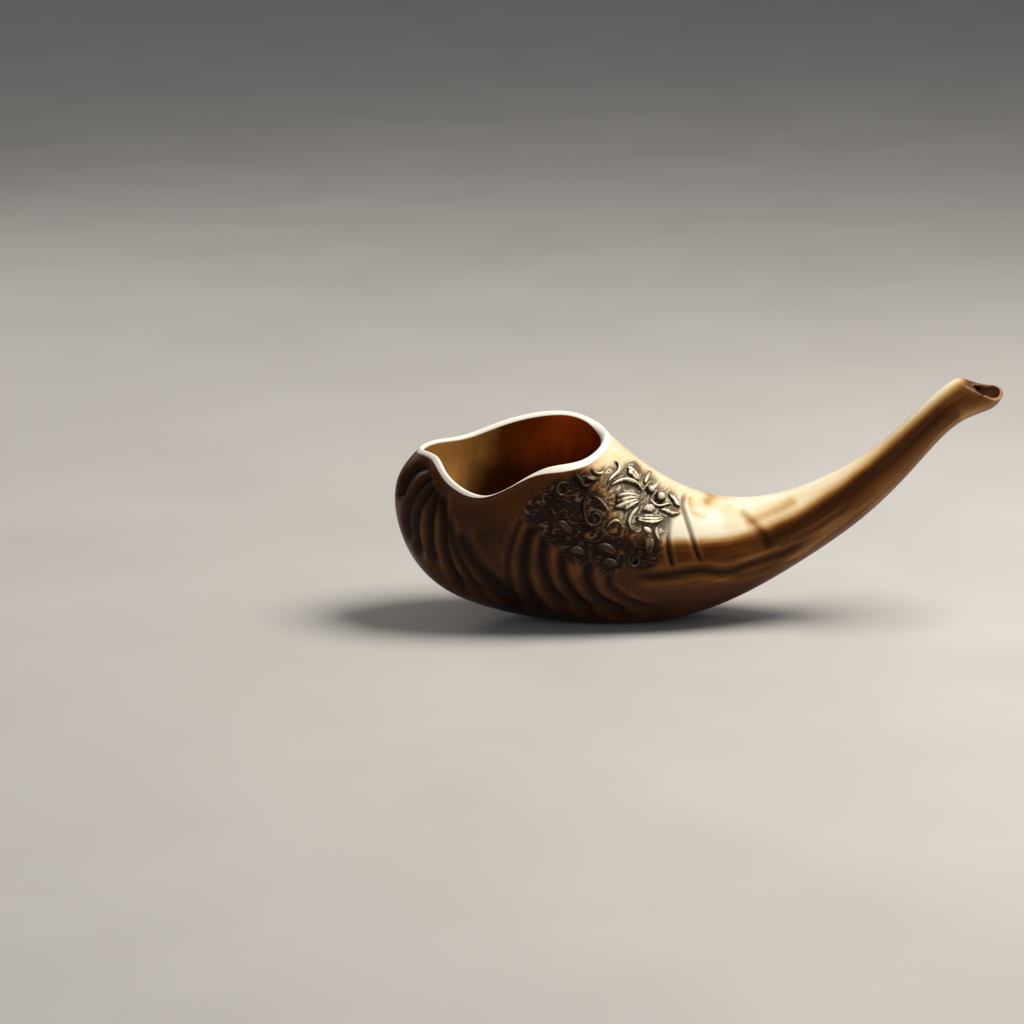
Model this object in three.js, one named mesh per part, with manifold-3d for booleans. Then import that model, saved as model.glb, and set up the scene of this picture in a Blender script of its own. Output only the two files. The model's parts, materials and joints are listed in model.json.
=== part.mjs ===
// A shofar: a ram's horn trumpet, with a spray of small cast leaves, scrolls and bosses on its side.
//
// Millimetres, +Z up. The horn lies on its belly, on a small flat whose middle is the origin. The bell is
// at -X and opens upwards, the mouthpiece is at +X, and the relief is on the -Y side.

import * as THREE from 'three';
import { mergeVertices } from 'three/addons/utils/BufferGeometryUtils.js';
import Module from 'manifold-3d';

const wasm = await Module();
wasm.setup();

// ---------------------------------------------------------------- driving dimensions

// Cross-sections of the horn, from the bell to the mouthpiece. Each is an ellipse between a point on the
// belly (the outside of the curve) and a point on the throat (the inside of the curve), both as [x, z]. A
// smooth spline runs close by these points, and through the first and the last.
const SECTIONS = [
  { belly: [-85.5, 82], throat: [-1, 84.5], halfDepth: 29 },
  { belly: [-100.5, 67], throat: [5, 80.5], halfDepth: 33 },
  { belly: [-97, 36.5], throat: [12.5, 74.5], halfDepth: 34.5 },
  { belly: [-81, 14], throat: [21.5, 68], halfDepth: 34.5 },
  { belly: [-50, 3.2], throat: [33, 61.5], halfDepth: 33 },
  { belly: [-14, -2], throat: [47, 57], halfDepth: 30 },
  { belly: [24, -2], throat: [62, 56], halfDepth: 26 },
  { belly: [57.5, 9.6], throat: [78, 59], halfDepth: 20.5 },
  { belly: [88.5, 29], throat: [94.5, 65.5], halfDepth: 15.5 },
  { belly: [114, 47], throat: [111.5, 75], halfDepth: 12 },
  { belly: [134, 68], throat: [127, 87], halfDepth: 10 },
  { belly: [148, 86], throat: [140.5, 102], halfDepth: 9 },
  { belly: [159, 95.2], throat: [153, 113], halfDepth: 8.5 },
  { belly: [172.5, 99], throat: [157.5, 113], halfDepth: 8.6 },
  { belly: [175.5, 104], throat: [161.7, 110.5], halfDepth: 8.8 },
];

// The bell's edge as [x, y, z], in equal steps around from the throat, past the relief side, to the belly
// and back along the far side.
const BELL_EDGE = [
  [-3.5, 0, 84],
  [-7, -13, 82.5],
  [-14.5, -24, 80],
  [-26, -29.5, 79.5],
  [-37, -31.5, 78],
  [-59, -33, 61.5],
  [-78.5, -27, 75],
  [-79, -14, 81.5],
  [-91.5, -2, 80],
  [-82.5, 9, 82.5],
  [-69.5, 16.5, 81],
  [-55, 22, 86.5],
  [-39, 26, 90.5],
  [-20, 28, 92],
  [-7.5, 25.5, 87],
  [-2, 15, 85.5],
];
const BELL_EDGE_FADE = 4; // sections over which the bell's edge runs out into plain ellipses
// The mouthpiece's edge, in the same order. Its opening is cut at a slant, lower on the relief side.
const MOUTH_EDGE = [
  [160, 0, 111],
  [163, -7, 108.5],
  [165.5, -9.5, 106.5],
  [171, -7, 103.5],
  [176, 0, 103.5],
  [176.5, 7, 105.5],
  [171, 9.5, 108],
  [166.5, 7, 108.5],
];
const MOUTH_EDGE_FADE = 3; // sections over which it runs out
const BELL_SWELL = 0.3; // how much wider a bell section is on its throat side
const BELL_SWELL_FADE = 2.5; // sections over which that runs out

const WALL_BELL = 3.2; // at the bell's edge, half way round
const WALL_BELL_SPREAD = 1; // thicker by this at the throat and thinner by this at the belly
const WALL_BODY = 4.6;
const WALL_NECK = 3.6;
const WALL_MOUTHPIECE = 1.7;
// Parts of the horn's length over which the wall goes over to the body's, the neck's and the mouthpiece's.
const BODY_WALL_REACHED = [0, 0.2];
const NECK_WALL_REACHED = [0.4, 0.65];
const MOUTHPIECE_WALL_REACHED = [0.8, 1];

const HORN_STEPS_AROUND = 36;
const HORN_STEPS_OUTSIDE = 56;
const HORN_STEPS_INSIDE = 26;

// The relief is laid out on an upright plate beside the horn, as [x, up], and pushed back onto the skin.
const PLATE_TILT = THREE.MathUtils.degToRad(15.5); // the plate leans this far back
const RELIEF_GAP = 0.35; // between the horn's skin and the back of a relief piece
const RELIEF_EDGE = 0.45; // thickness of a relief piece at its edge

// ---------------------------------------------------------------- materials

function material(name, color, roughness, metalness) {
  const made = new THREE.MeshStandardMaterial({ color, roughness, metalness });
  made.name = name;
  return made;
}

const hornMaterial = () => material('polished_horn', 0x7a5430, 0.35, 0);
const silverMaterial = () => material('aged_silver', 0x8d8373, 0.45, 0.8);
const paleMaterial = () => material('bright_silver', 0xd9c7a4, 0.35, 0.8);

// ---------------------------------------------------------------- the horn's skin

const LAST_SECTION = SECTIONS.length - 1;

// Weights of the four control points around a place on a uniform cubic B-spline.
function splineWeights(u) {
  return [
    (1 - u) ** 3 / 6,
    (3 * u ** 3 - 6 * u ** 2 + 4) / 6,
    (-3 * u ** 3 + 3 * u ** 2 + 3 * u + 1) / 6,
    u ** 3 / 6,
  ];
}

// One number of an open spline that starts and ends on its end points.
function openSpline(count, at, pick) {
  const start = Math.min(Math.floor(at), count - 2);
  const value = (index) => {
    if (index < 0) return 2 * pick(0) - pick(1);
    if (index >= count) return 2 * pick(count - 1) - pick(count - 2);
    return pick(index);
  };
  const weights = splineWeights(at - start);
  return weights.reduce((sum, weight, k) => sum + weight * value(start + k - 1), 0);
}

// One number of a closed spline.
function closedSpline(count, at, pick) {
  const start = Math.floor(at);
  const weights = splineWeights(at - start);
  return weights.reduce((sum, weight, k) => sum + weight * pick((start + k - 1 + count) % count), 0);
}

// A point of the plain elliptical section. around = 0 is the throat, pi / 2 the relief side, pi the belly.
function sectionPoint(along, around) {
  const spline = (pick) => openSpline(SECTIONS.length, along, (index) => pick(SECTIONS[index]));
  const belly = new THREE.Vector3(spline((s) => s.belly[0]), 0, spline((s) => s.belly[1]));
  const throat = new THREE.Vector3(spline((s) => s.throat[0]), 0, spline((s) => s.throat[1]));
  const swell = BELL_SWELL * Math.max(0, 1 - along / BELL_SWELL_FADE);
  const depth = spline((s) => s.halfDepth) * (1 + swell * Math.cos(around));
  const point = belly.clone().lerp(throat, (1 + Math.cos(around)) / 2);
  point.y = -Math.sin(around) * depth;
  return point;
}

function edgePoint(edge, around) {
  const turn = around / (2 * Math.PI);
  const at = (turn - Math.floor(turn)) * edge.length;
  const axis = (k) => closedSpline(edge.length, at, (index) => edge[index][k]);
  return new THREE.Vector3(axis(0), axis(1), axis(2));
}

// Moves a point of the skin over to the edge at one end of the horn: all the way at that end, and less and
// less over the next few sections (reach).
function drawToEdge(point, along, around, edge, end, reach) {
  const fade = Math.max(0, 1 - Math.abs(along - end) / reach) ** 2;
  if (fade > 0) {
    const shift = edgePoint(edge, around).sub(sectionPoint(end, around));
    point.addScaledVector(shift, fade);
  }
}

// A point of the horn's outer skin, along from 0 at the bell to LAST_SECTION at the mouthpiece.
function skinPoint(along, around) {
  const point = sectionPoint(along, around);
  drawToEdge(point, along, around, BELL_EDGE, 0, BELL_EDGE_FADE);
  drawToEdge(point, along, around, MOUTH_EDGE, LAST_SECTION, MOUTH_EDGE_FADE);
  return point;
}

function skinNormal(along, around) {
  const step = 0.01;
  const before = Math.max(0, along - step);
  const after = Math.min(LAST_SECTION, along + step);
  const lengthwise = skinPoint(after, around).sub(skinPoint(before, around));
  const crosswise = skinPoint(along, around + step).sub(skinPoint(along, around - step));
  return crosswise.cross(lengthwise).normalize();
}

function liftedPoint(along, around, height) {
  return skinPoint(along, around).addScaledVector(skinNormal(along, around), height);
}

// How far a place on the horn's length is through a stretch of it, from 0 to 1.
function through(along, [from, to]) {
  return THREE.MathUtils.smoothstep(along / LAST_SECTION, from, to);
}

function wallThickness(along, around) {
  const body = THREE.MathUtils.lerp(WALL_BELL, WALL_BODY, through(along, BODY_WALL_REACHED));
  const neck = THREE.MathUtils.lerp(body, WALL_NECK, through(along, NECK_WALL_REACHED));
  const wall = THREE.MathUtils.lerp(neck, WALL_MOUTHPIECE, through(along, MOUTHPIECE_WALL_REACHED));
  return wall + WALL_BELL_SPREAD * Math.max(0, 1 - along) * Math.cos(around);
}

// ---------------------------------------------------------------- closed meshes

function meshGeometry(positions, triangles) {
  const geometry = new THREE.BufferGeometry();
  geometry.setAttribute('position', new THREE.Float32BufferAttribute(positions, 3));
  geometry.setIndex(triangles);
  return geometry;
}

// Triangles of a grid of rows x columns points. wrap joins the last column to the first.
function gridTriangles(rows, columns, first, wrap, flip) {
  const triangles = [];
  const spans = wrap ? columns : columns - 1;
  for (let row = 0; row < rows - 1; row += 1) {
    for (let column = 0; column < spans; column += 1) {
      const next = (column + 1) % columns;
      const a = first + row * columns + column;
      const b = first + row * columns + next;
      const c = first + (row + 1) * columns + next;
      const d = first + (row + 1) * columns + column;
      triangles.push(...(flip ? [a, c, b, a, d, c] : [a, b, c, a, c, d]));
    }
  }
  return triangles;
}

function toManifold(geometry) {
  const plain = geometry.clone();
  plain.deleteAttribute('normal');
  plain.deleteAttribute('uv');
  const merged = mergeVertices(plain, 1e-5);
  return new wasm.Manifold(new wasm.Mesh({
    numProp: 3,
    vertProperties: new Float32Array(merged.attributes.position.array),
    triVerts: new Uint32Array(merged.index.array),
  }));
}

function fromManifold(solid) {
  const mesh = solid.getMesh();
  return meshGeometry(mesh.vertProperties, Array.from(mesh.triVerts));
}

// ---------------------------------------------------------------- horn

// The skin runs from the bell to the mouthpiece outside and back inside, as one closed surface: the bore is
// open at both ends.
function hornShell() {
  const positions = [];
  const addRing = (along, inside) => {
    for (let k = 0; k < HORN_STEPS_AROUND; k += 1) {
      const around = (2 * Math.PI * k) / HORN_STEPS_AROUND;
      const depth = inside ? -wallThickness(along, around) : 0;
      positions.push(...liftedPoint(along, around, depth));
    }
  };
  for (let k = 0; k <= HORN_STEPS_OUTSIDE; k += 1) {
    addRing((LAST_SECTION * k) / HORN_STEPS_OUTSIDE, false);
  }
  for (let k = HORN_STEPS_INSIDE; k >= 0; k -= 1) {
    addRing((LAST_SECTION * k) / HORN_STEPS_INSIDE, true);
  }
  addRing(0, false);
  const rings = HORN_STEPS_OUTSIDE + HORN_STEPS_INSIDE + 3;
  return meshGeometry(positions, gridTriangles(rings, HORN_STEPS_AROUND, 0, true, false));
}

// The belly is rubbed flat at z = 0, where the horn lies.
function makeHorn() {
  const groundSize = 400; // wider than the horn is long
  const ground = new THREE.BoxGeometry(groundSize, groundSize, groundSize);
  ground.translate(0, 0, -groundSize / 2);
  const solid = toManifold(hornShell()).subtract(toManifold(ground));
  const mesh = new THREE.Mesh(fromManifold(solid), hornMaterial());
  mesh.name = 'horn';
  return mesh;
}

// ---------------------------------------------------------------- relief pieces

const PLATE_UP = new THREE.Vector3(0, Math.sin(PLATE_TILT), Math.cos(PLATE_TILT));
const SEARCH_START = { along: 4.2, around: Math.PI / 2 }; // the middle of the relief side
const SEARCH_ROUNDS = 25;
const SEARCH_STEP = 1e-3;
const SEARCH_STRIDE = { along: 1, around: 0.4 }; // the longest move in one round

// Where the plate's point (x, up), pushed straight back, meets the horn's near side: [along, around].
function hornPlace(x, up) {
  const miss = (along, around) => {
    const point = skinPoint(along, around);
    return [point.x - x, point.dot(PLATE_UP) - up];
  };
  const limited = (move, stride) => THREE.MathUtils.clamp(move, -stride, stride);
  let { along, around } = SEARCH_START;
  for (let round = 0; round < SEARCH_ROUNDS; round += 1) {
    const here = miss(along, around);
    const slope = (there) => there.map((value, k) => (value - here[k]) / SEARCH_STEP);
    const lengthwise = slope(miss(along + SEARCH_STEP, around));
    const crosswise = slope(miss(along, around + SEARCH_STEP));
    const area = lengthwise[0] * crosswise[1] - lengthwise[1] * crosswise[0];
    const moveAlong = (here[0] * crosswise[1] - here[1] * crosswise[0]) / area;
    const moveAround = (lengthwise[0] * here[1] - lengthwise[1] * here[0]) / area;
    along = THREE.MathUtils.clamp(along - limited(moveAlong, SEARCH_STRIDE.along), 0, LAST_SECTION);
    around -= limited(moveAround, SEARCH_STRIDE.around);
  }
  return [along, around];
}

// A closed piece that lies along the horn. plateAt(u, v) is a point of its outline on the plate and
// heightAt(u, v) its height over its edge, both with u and v from 0 to 1.
function reliefGeometry(lengthSteps, crossSteps, plateAt, heightAt) {
  const rows = lengthSteps + 1;
  const columns = crossSteps + 1;
  const front = [];
  const back = [];
  for (let i = 0; i < rows; i += 1) {
    for (let j = 0; j < columns; j += 1) {
      const u = i / lengthSteps;
      const v = j / crossSteps;
      const [along, around] = hornPlace(...plateAt(u, v));
      front.push(...liftedPoint(along, around, RELIEF_GAP + RELIEF_EDGE + heightAt(u, v)));
      back.push(...liftedPoint(along, around, RELIEF_GAP));
    }
  }
  const count = rows * columns;
  const triangles = [
    ...gridTriangles(rows, columns, 0, false, false),
    ...gridTriangles(rows, columns, count, false, true),
  ];
  const border = [];
  for (let j = 0; j < columns - 1; j += 1) border.push(j);
  for (let i = 0; i < rows - 1; i += 1) border.push(i * columns + columns - 1);
  for (let j = columns - 1; j > 0; j -= 1) border.push((rows - 1) * columns + j);
  for (let i = rows - 1; i > 0; i -= 1) border.push(i * columns);
  border.forEach((here, k) => {
    const next = border[(k + 1) % border.length];
    triangles.push(here, here + count, next + count, here, next + count, next);
  });
  return meshGeometry([...front, ...back], triangles);
}

function reliefMesh(name, geometry, surface) {
  const mesh = new THREE.Mesh(geometry, surface);
  mesh.name = name;
  return mesh;
}

// Half width of a piece that narrows to its two ends, widest around peak.
function taper(u, halfWidth, peak, tip) {
  const bluntness = 1.25; // over 1, the widest part is a stretch and not a point
  const roundness = 0.8; // under 1, the ends are fuller than a sine wave's
  const reach = u < peak ? u / peak : (1 - u) / (1 - peak);
  return tip + (halfWidth - tip) * Math.sin((Math.PI / 2) * Math.min(1, reach * bluntness)) ** roundness;
}

// A ribbon along a curve through the given plate points: a stem, scroll or leaf. folds is how many ridges
// it has side by side.
function ribbon(name, { path, halfWidth, rise, steps = 10, folds = 1, peak = 0.5, tip = 0.2, surface }) {
  const curve = new THREE.SplineCurve(path.map(([x, up]) => new THREE.Vector2(x, up)));
  const plateAt = (u, v) => {
    const middle = curve.getPointAt(u);
    const tangent = curve.getTangentAt(u);
    const side = (v - 0.5) * 2 * taper(u, halfWidth, peak, tip);
    return [middle.x + tangent.y * side, middle.y - tangent.x * side];
  };
  const bluntEnd = 0.04; // keeps a little height at the very ends
  const heightAt = (u, v) => {
    const lengthwise = Math.sin(Math.PI * THREE.MathUtils.clamp(u, bluntEnd, 1 - bluntEnd)) ** 0.5;
    return rise * lengthwise * Math.abs(Math.sin(Math.PI * folds * v));
  };
  return reliefMesh(name, reliefGeometry(steps, 2 * folds, plateAt, heightAt), surface);
}

// Plate points of a scroll that winds in to its eye, from startAngle (degrees) through turns of a circle.
function scrollPath({ eye, startRadius, endRadius, startAngle, turns }) {
  const points = 8;
  const path = [];
  for (let k = 0; k <= points; k += 1) {
    const part = k / points;
    const angle = THREE.MathUtils.degToRad(startAngle) + 2 * Math.PI * turns * part;
    const radius = THREE.MathUtils.lerp(startRadius, endRadius, part);
    path.push([eye[0] + radius * Math.cos(angle), eye[1] + radius * Math.sin(angle)]);
  }
  return path;
}

// A fan of petals side by side, spreading from one root. reaches lists the petals' lengths, from startAngle
// to endAngle (degrees), and bend turns the petals' roots, most at endAngle.
function fan(name, { root, reaches, rootRadius, startAngle, endAngle, bend, rise, steps }) {
  const stepsPerPetal = 4;
  const scallop = 0.15; // how much of its length a petal's rounded tip takes
  const valley = 0.35; // height between two petals, as a part of their own
  const arch = [0.15, 0.9]; // the part of a half wave that the height follows from root to tip
  const petal = (v) => Math.abs(Math.sin(Math.PI * reaches.length * v));
  const plateAt = (u, v) => {
    const angle = THREE.MathUtils.lerp(startAngle, endAngle, v) - bend * v * (1 - u);
    const reach = reaches[Math.min(reaches.length - 1, Math.floor(v * reaches.length))];
    const tipRadius = reach * (1 - scallop + scallop * Math.sqrt(petal(v)));
    const radius = THREE.MathUtils.lerp(rootRadius, tipRadius, u);
    const turn = THREE.MathUtils.degToRad(angle);
    return [root[0] + radius * Math.cos(turn), root[1] + radius * Math.sin(turn)];
  };
  const heightAt = (u, v) => {
    const lengthwise = Math.sin(Math.PI * THREE.MathUtils.lerp(...arch, u));
    return rise * lengthwise * (valley + (1 - valley) * petal(v));
  };
  const geometry = reliefGeometry(steps, stepsPerPetal * reaches.length, plateAt, heightAt);
  return reliefMesh(name, geometry, silverMaterial());
}

// A round boss: a dome on a thin collar, turned about its own axis and set square on the horn.
function makeBoss(name, [x, up], radius) {
  const collarHeight = 0.7;
  const collarShare = 0.18; // of the radius, which the dome leaves clear
  const domeRadius = radius * (1 - collarShare);
  const seat = RELIEF_GAP + 0.1; // its flat back clears the curved skin
  const domeSteps = 5;
  const turnSteps = 16;
  const profile = [
    new THREE.Vector2(0, 0),
    new THREE.Vector2(radius, 0),
    new THREE.Vector2(radius, collarHeight),
  ];
  for (let k = 0; k < domeSteps; k += 1) {
    const angle = (Math.PI / 2) * (k / domeSteps);
    const height = collarHeight + domeRadius * Math.sin(angle);
    profile.push(new THREE.Vector2(domeRadius * Math.cos(angle), height));
  }
  profile.push(new THREE.Vector2(0, collarHeight + domeRadius));
  const mesh = reliefMesh(name, new THREE.LatheGeometry(profile, turnSteps), paleMaterial());
  const [along, around] = hornPlace(x, up);
  mesh.position.copy(liftedPoint(along, around, seat));
  mesh.quaternion.setFromUnitVectors(new THREE.Vector3(0, 1, 0), skinNormal(along, around));
  return mesh;
}

const FANS = {
  palmette: {
    root: [12.8, 54.2], reaches: [10.6, 14.4, 13, 12.8], rootRadius: 1.6,
    startAngle: 214, endAngle: 167, bend: 22, rise: 1.5, steps: 6,
  },
  lower_fan: {
    root: [15.2, 52.6], reaches: [4.3, 4.5, 4.4, 4.3], rootRadius: 0.9,
    startAngle: 318, endAngle: 224, bend: 0, rise: 0.8, steps: 3,
  },
};

// Leaves and stems, as points on the plate from root to tip.
const RIBBONS = {
  hood: {
    path: [[-3.5, 58.4], [-0.8, 61.3], [3.2, 62.9], [7.2, 62.5], [10.6, 60.4], [12.6, 57.4]],
    halfWidth: 1, rise: 1.5, steps: 14,
  },
  palmette_tail: {
    path: [[11.6, 51.5], [9, 49.3], [7, 46.8], [6.2, 44.2], [7, 41.4], [8.8, 40]],
    halfWidth: 1, rise: 1.2,
  },
  crown_leaf: {
    path: [[-3.6, 61.6], [-1.6, 64], [1.2, 66.4], [1.9, 69], [0.4, 70.8]],
    halfWidth: 0.9, rise: 1,
  },
  brow_leaf: {
    path: [[11.2, 62.8], [8.4, 65.4], [5.8, 68.8]],
    halfWidth: 1.6, rise: 0.8, folds: 2, steps: 8,
  },
  side_leaf: {
    path: [[13.4, 60.8], [14.6, 63.9], [16.6, 66.8]],
    halfWidth: 0.9, rise: 0.9, steps: 8,
  },
  boss_cradle: {
    path: [[15.9, 54.2], [18, 51.6], [20.6, 51], [23.4, 51.9], [26, 52]],
    halfWidth: 0.6, rise: 0.8,
  },
  tip_leaf: {
    path: [[24.4, 56.6], [26.8, 54], [29.6, 50.4]],
    halfWidth: 1.1, rise: 0.9, steps: 8,
  },
  under_leaf: {
    path: [[20, 49.5], [23, 49], [26.2, 47.6], [29.2, 48]],
    halfWidth: 0.8, rise: 0.9,
  },
  fold_leaf: {
    path: [[9.2, 45.6], [13.6, 45.4], [18, 45.2], [22.4, 46.2]],
    halfWidth: 2.1, rise: 1.3, folds: 3,
  },
  drop_leaf: {
    path: [[19.2, 42.7], [18.3, 40.4], [19, 37.6], [20.5, 35]],
    halfWidth: 0.8, rise: 0.9, steps: 8,
  },
  seed: {
    path: [[12.3, 41.7], [14.3, 40.6], [16.2, 39.4]],
    halfWidth: 1.3, rise: 1.3, steps: 8, pale: true,
  },
  hanging_leaf: {
    path: [[15.7, 37.2], [15.3, 33.6], [14.7, 29.6]],
    halfWidth: 2.3, rise: 1, folds: 2, peak: 0.3, steps: 8,
  },
  slant_stem: {
    path: [[-10, 55.8], [-7.2, 54.2], [-4.8, 51.6], [-2.8, 48.6]],
    halfWidth: 0.7, rise: 0.9,
  },
  low_arch: {
    path: [[-4, 41.2], [-2.4, 43.6], [0, 44.8], [2.2, 43.8], [3.6, 41]],
    halfWidth: 0.8, rise: 0.9,
  },
  rim_hook_long: {
    path: [[-18.3, 65.2], [-15.9, 63.2], [-14, 60.2], [-11.2, 60.5]],
    halfWidth: 0.7, rise: 0.9,
  },
  rim_hook_short: {
    path: [[-10.8, 67.4], [-9, 65.9], [-6.6, 65.6], [-5, 67.6]],
    halfWidth: 0.7, rise: 0.9,
  },
  rim_leaf: {
    path: [[-13.6, 64.2], [-10.6, 63.6], [-7.4, 63.2]],
    halfWidth: 0.9, rise: 0.8, folds: 2, steps: 8,
  },
  low_leaf_left: {
    path: [[-20.6, 31.6], [-17, 31.8], [-13.6, 30]],
    halfWidth: 1.7, rise: 0.9, folds: 2, steps: 8,
  },
  low_leaf_middle: {
    path: [[-8, 33.8], [-3.6, 32.6], [0.8, 30]],
    halfWidth: 1.9, rise: 0.9, folds: 2, steps: 8,
  },
  low_leaf_last: {
    path: [[-5.4, 27.6], [-1.8, 26.6], [1.8, 24.8]],
    halfWidth: 1.3, rise: 0.8, folds: 2, steps: 8,
  },
  outer_leaf: {
    path: [[-26, 44.4], [-22.8, 42.8], [-19.8, 39]],
    halfWidth: 1.6, rise: 0.8, folds: 2, steps: 8,
  },
};

// Scrolls wound about an eye, after any points of the stem that leads in.
const SCROLLS = {
  left_spiral: {
    stem: [[-12, 57.6], [-13.8, 54.4], [-14.2, 50.4]],
    scroll: { eye: [-9.4, 45.8], startRadius: 3.9, endRadius: 1.1, startAngle: 190, turns: 1.15 },
    halfWidth: 0.75, rise: 0.9, steps: 24,
  },
  outer_spiral: {
    stem: [],
    scroll: { eye: [-23.4, 58.4], startRadius: 3.6, endRadius: 1.6, startAngle: 50, turns: 0.95 },
    halfWidth: 0.7, rise: 0.8, steps: 16,
  },
  low_spiral: {
    stem: [],
    scroll: { eye: [8.9, 27], startRadius: 3.6, endRadius: 1.5, startAngle: 100, turns: 0.95 },
    halfWidth: 0.7, rise: 0.8, steps: 16,
  },
};

const BOSSES = {
  boss_front: { place: [20.4, 55], radius: 2.6 },
  boss_rear: { place: [16, 58.2], radius: 2.1 },
};

function makeFans() {
  return Object.entries(FANS).map(([name, shape]) => fan(name, shape));
}

function makeRibbons() {
  return Object.entries(RIBBONS).map(([name, { pale, ...shape }]) => (
    ribbon(name, { ...shape, surface: pale ? paleMaterial() : silverMaterial() })
  ));
}

function makeScrolls() {
  return Object.entries(SCROLLS).map(([name, { stem, scroll, ...shape }]) => {
    const path = [...stem, ...scrollPath(scroll)];
    return ribbon(name, { ...shape, path, surface: silverMaterial() });
  });
}

function makeBosses() {
  return Object.entries(BOSSES).map(([name, { place, radius }]) => makeBoss(name, place, radius));
}

// ---------------------------------------------------------------- shofar

const shofar = new THREE.Group();
shofar.add(makeHorn(), ...makeFans(), ...makeRibbons(), ...makeScrolls(), ...makeBosses());

export default shofar;
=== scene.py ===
# The looks of the shofar: a ribbed and polished ram's horn, with a carved ground and cast relief on its side.
#
# The horn is drawn in the tables below in millimetres, with the flat that it lies on at the origin. The box
# of the frame's horn and the mount "rest" turn the drawing into the frame's metres.
import json
import math

import bmesh
import bpy
import numpy as np
from mathutils import Matrix, Vector
from mathutils.bvhtree import BVHTree


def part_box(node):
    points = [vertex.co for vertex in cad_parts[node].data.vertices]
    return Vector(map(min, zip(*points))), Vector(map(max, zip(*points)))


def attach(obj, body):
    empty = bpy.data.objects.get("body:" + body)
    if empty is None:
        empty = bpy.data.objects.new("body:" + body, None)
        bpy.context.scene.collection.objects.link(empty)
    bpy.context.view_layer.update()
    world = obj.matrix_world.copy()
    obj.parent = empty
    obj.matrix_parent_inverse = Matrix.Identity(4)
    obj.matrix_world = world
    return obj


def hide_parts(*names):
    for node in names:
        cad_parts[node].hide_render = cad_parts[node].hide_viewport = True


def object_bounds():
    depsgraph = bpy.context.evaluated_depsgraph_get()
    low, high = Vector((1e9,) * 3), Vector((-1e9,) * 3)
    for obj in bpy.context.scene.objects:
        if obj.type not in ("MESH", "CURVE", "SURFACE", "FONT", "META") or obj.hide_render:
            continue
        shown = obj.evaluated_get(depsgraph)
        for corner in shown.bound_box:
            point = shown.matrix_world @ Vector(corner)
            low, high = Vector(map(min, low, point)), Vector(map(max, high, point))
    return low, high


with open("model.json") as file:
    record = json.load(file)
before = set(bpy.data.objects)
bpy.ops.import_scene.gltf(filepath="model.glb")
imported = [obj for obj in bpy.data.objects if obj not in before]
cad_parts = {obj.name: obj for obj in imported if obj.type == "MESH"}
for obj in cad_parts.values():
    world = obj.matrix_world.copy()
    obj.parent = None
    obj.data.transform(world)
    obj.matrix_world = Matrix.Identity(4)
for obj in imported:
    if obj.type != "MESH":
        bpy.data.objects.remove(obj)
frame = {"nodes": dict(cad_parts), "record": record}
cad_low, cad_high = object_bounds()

# ---------------------------------------------------------------- the drawing, in millimetres

DRAWN_LENGTH = 275.44  # the horn's extent in x
horn_low, horn_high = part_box("horn")
MILLIMETRE = (horn_high.x - horn_low.x) / DRAWN_LENGTH  # of the drawing, in the frame's metres
REST = np.array(frame["record"]["mounts"][0]["pos_m"])  # the middle of the flat that the horn lies on

# Sections from the bell to the mouthpiece: belly x, belly z, throat x, throat z, half depth.
SECTIONS = np.array([
    [-85.5, 82, -1, 84.5, 29],
    [-100.5, 67, 5, 80.5, 33],
    [-97, 36.5, 12.5, 74.5, 34.5],
    [-81, 14, 21.5, 68, 34.5],
    [-50, 3.2, 33, 61.5, 33],
    [-14, -2, 47, 57, 30],
    [24, -2, 62, 56, 26],
    [57.5, 9.6, 78, 59, 20.5],
    [88.5, 29, 94.5, 65.5, 15.5],
    [114, 47, 111.5, 75, 12],
    [134, 68, 127, 87, 10],
    [148, 86, 140.5, 102, 9],
    [159, 95.2, 153, 113, 8.5],
    [172.5, 99, 157.5, 113, 8.6],
    [175.5, 104, 161.7, 110.5, 8.8],
])
LAST = len(SECTIONS) - 1

# The bell's edge in equal steps around, from the throat past the relief side (-y) to the belly and back.
BELL_EDGE = np.array([
    [-3.5, 0, 84],
    [-7, -13, 82.5],
    [-14.5, -24, 80],
    [-26, -29.5, 79.5],
    [-37, -31.5, 78],
    [-59, -33, 61.5],
    [-78.5, -27, 75],
    [-79, -14, 81.5],
    [-91.5, -2, 80],
    [-82.5, 9, 82.5],
    [-69.5, 16.5, 81],
    [-55, 22, 86.5],
    [-39, 26, 90.5],
    [-20, 28, 92],
    [-7.5, 25.5, 87],
    [-2, 15, 85.5],
])
BELL_EDGE_FADE = 4  # sections over which the bell's edge runs out into plain ellipses
# The mouthpiece's edge, in the same order.
MOUTH_EDGE = np.array([
    [160, 0, 111],
    [163, -7, 108.5],
    [165.5, -9.5, 106.5],
    [171, -7, 103.5],
    [176, 0, 103.5],
    [176.5, 7, 105.5],
    [171, 9.5, 108],
    [166.5, 7, 108.5],
])
MOUTH_EDGE_FADE = 3
BELL_SWELL = 0.3  # how much wider a bell section is on its throat side
BELL_SWELL_FADE = 2.5

WALL_BELL = 3.2
WALL_BELL_SPREAD = 1  # thicker by this at the throat and thinner by this at the belly
WALL_BODY = 4.6
WALL_NECK = 3.6
WALL_MOUTHPIECE = 1.7

# The mesh's rows and columns, as (from, to, steps). They are closest on the carved side.
ROWS_OUTSIDE = [(0, 2.2, 56), (2.2, 6.9, 156), (6.9, LAST, 108)]
ROWS_INSIDE = [(0, 4, 40), (4, LAST, 50)]
COLUMNS = [(0.35, 2.45, 112), (2.45, 0.35 + 2 * math.pi, 98)]
LIP_STEPS = 8
BELL_LIP_ROUNDING = 0.9
MOUTH_LIP_ROUNDING = 0.8

# Grooves and creases are drawn in a plate that leans back by PLATE_TILT, as [x, up], and run on
# round the belly to the far side.
PLATE_TILT = math.radians(15.5)
BELLY_SOFTNESS = 6  # a groove turns under the belly over about this much of y

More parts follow.
